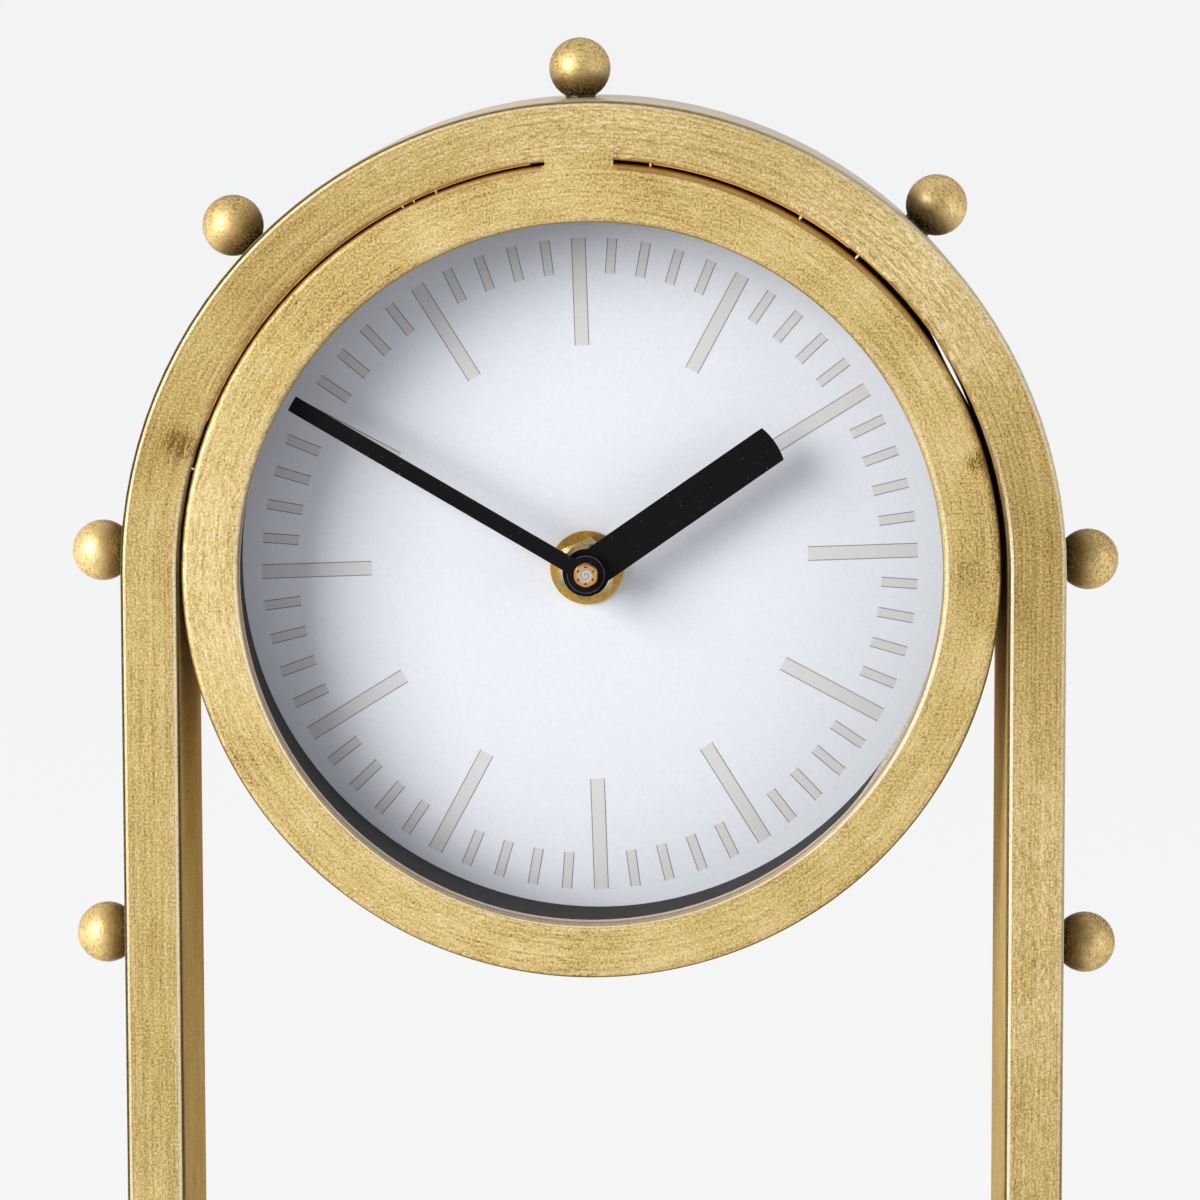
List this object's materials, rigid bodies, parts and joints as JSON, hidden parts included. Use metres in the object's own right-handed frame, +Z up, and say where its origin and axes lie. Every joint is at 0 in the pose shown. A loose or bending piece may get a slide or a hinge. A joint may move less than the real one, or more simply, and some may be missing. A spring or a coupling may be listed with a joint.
{
  "type": "arch table clock",
  "caption": "Free-standing metal arch clock with ball studs and an open-faced round quartz clock head hung in the bend.",
  "frame": {"origin": "under the middle of the base, on the surface that the clock stands on", "axes": "+Z up, the dial faces -Y, +X to the viewer's right"},
  "size_m": [0.228, 0.09, 0.3739],
  "materials": {
    "antique_gold": "antique gold rubbed over a black base coat, satin",
    "black_enamel": "matt black",
    "dial_paper": "smooth matt white print",
    "fibreboard": "raw fibreboard",
    "zinc_steel": "zinc plated",
    "bright_steel": "turned bright",
    "motor_iron": "soft iron",
    "clock_brass": "turned brass",
    "black_rubber": "matt",
    "hand_black": "satin black enamel on thin sheet",
    "white_acetal": "moulded",
    "coil_copper": "enamelled copper wire",
    "circuit_green": "circuit laminate",
    "movement_black": "moulded, fine grain",
    "cell_jacket": "plain printed jacket",
    "felt": "black felt"
  },
  "bodies": {
    "clock_body": {"arch_tube": "antique_gold", "ball_studs": "antique_gold", "head_ring": "antique_gold", "head_tab": "antique_gold", "base_tray": "antique_gold", "base_board": "fibreboard", "base_felt": "felt", "base_screws": "zinc_steel", "leg_plugs": "zinc_steel", "dial_band": "black_enamel", "dial_face": "dial_paper", "dial_board": "fibreboard", "dial_clips": "zinc_steel", "clip_screws": "zinc_steel", "mounting_bush": "clock_brass", "mount_washer": "clock_brass", "mount_nut": "clock_brass", "rubber_washer": "black_rubber", "movement_case": "movement_black", "movement_cover": "movement_black", "stator": "motor_iron", "coil_bobbin": "white_acetal", "coil_winding": "coil_copper", "circuit_board": "circuit_green", "quartz_can": "zinc_steel", "battery": "cell_jacket", "contact_positive": "zinc_steel", "contact_negative": "zinc_steel"},
    "minute_work": {"minute_arbor": "bright_steel", "minute_hand": "hand_black", "minute_bush": "clock_brass"},
    "hour_work": {"hour_wheel": "white_acetal", "hour_hand": "hand_black"},
    "motion_wheel": {"motion_wheel": "white_acetal"},
    "setting_knob": {"setting_knob": "movement_black"},
    "seconds_wheel": {"seconds_wheel": "white_acetal"},
    "third_wheel": {"third_wheel": "white_acetal"},
    "centre_wheel": {"centre_wheel": "white_acetal"},
    "intermediate_wheel": {"intermediate_wheel": "white_acetal"},
    "rotor": {"rotor": "motor_iron"}
  },
  "joints": [
    {"name": "minute_hand_turn", "type": "hinge", "parent": "clock_body", "child": "minute_work", "pos_m": [-0.00165, 0, 0.25915], "axis": [0, 1, 0], "continuous": true},
    {"name": "hour_hand_turn", "type": "hinge", "parent": "clock_body", "child": "hour_work", "pos_m": [-0.00165, 0, 0.25915], "axis": [0, 1, 0], "continuous": true},
    {"name": "motion_wheel_turn", "type": "hinge", "parent": "clock_body", "child": "motion_wheel", "pos_m": [-0.00165, 0, 0.26715], "axis": [0, 1, 0], "continuous": true},
    {"name": "setting_knob_turn", "type": "hinge", "parent": "clock_body", "child": "setting_knob", "pos_m": [0.00335, 0, 0.27581], "axis": [0, 1, 0], "continuous": true},
    {"name": "seconds_wheel_turn", "type": "hinge", "parent": "clock_body", "child": "seconds_wheel", "pos_m": [-0.00165, 0, 0.25915], "axis": [0, 1, 0], "continuous": true},
    {"name": "third_wheel_turn", "type": "hinge", "parent": "clock_body", "child": "third_wheel", "pos_m": [0.00855, 0, 0.25915], "axis": [0, 1, 0], "continuous": true},
    {"name": "centre_wheel_turn", "type": "hinge", "parent": "clock_body", "child": "centre_wheel", "pos_m": [-0.00165, 0, 0.25915], "axis": [0, 1, 0], "continuous": true},
    {"name": "intermediate_wheel_turn", "type": "hinge", "parent": "clock_body", "child": "intermediate_wheel", "pos_m": [-0.01173, 0, 0.25915], "axis": [0, 1, 0], "continuous": true},
    {"name": "rotor_turn", "type": "hinge", "parent": "clock_body", "child": "rotor", "pos_m": [-0.01533, 0, 0.26539], "axis": [0, 1, 0], "continuous": true}
  ],
  "couplings": [
    {"joint": "hour_hand_turn", "follows": "minute_hand_turn", "ratio": 0.083333},
    {"joint": "motion_wheel_turn", "follows": "minute_hand_turn", "ratio": -0.33333},
    {"joint": "setting_knob_turn", "follows": "minute_hand_turn", "ratio": 0.5},
    {"joint": "third_wheel_turn", "follows": "seconds_wheel_turn", "ratio": -0.125},
    {"joint": "centre_wheel_turn", "follows": "seconds_wheel_turn", "ratio": 0.016667},
    {"joint": "intermediate_wheel_turn", "follows": "seconds_wheel_turn", "ratio": -6},
    {"joint": "rotor_turn", "follows": "seconds_wheel_turn", "ratio": 30}
  ]
}
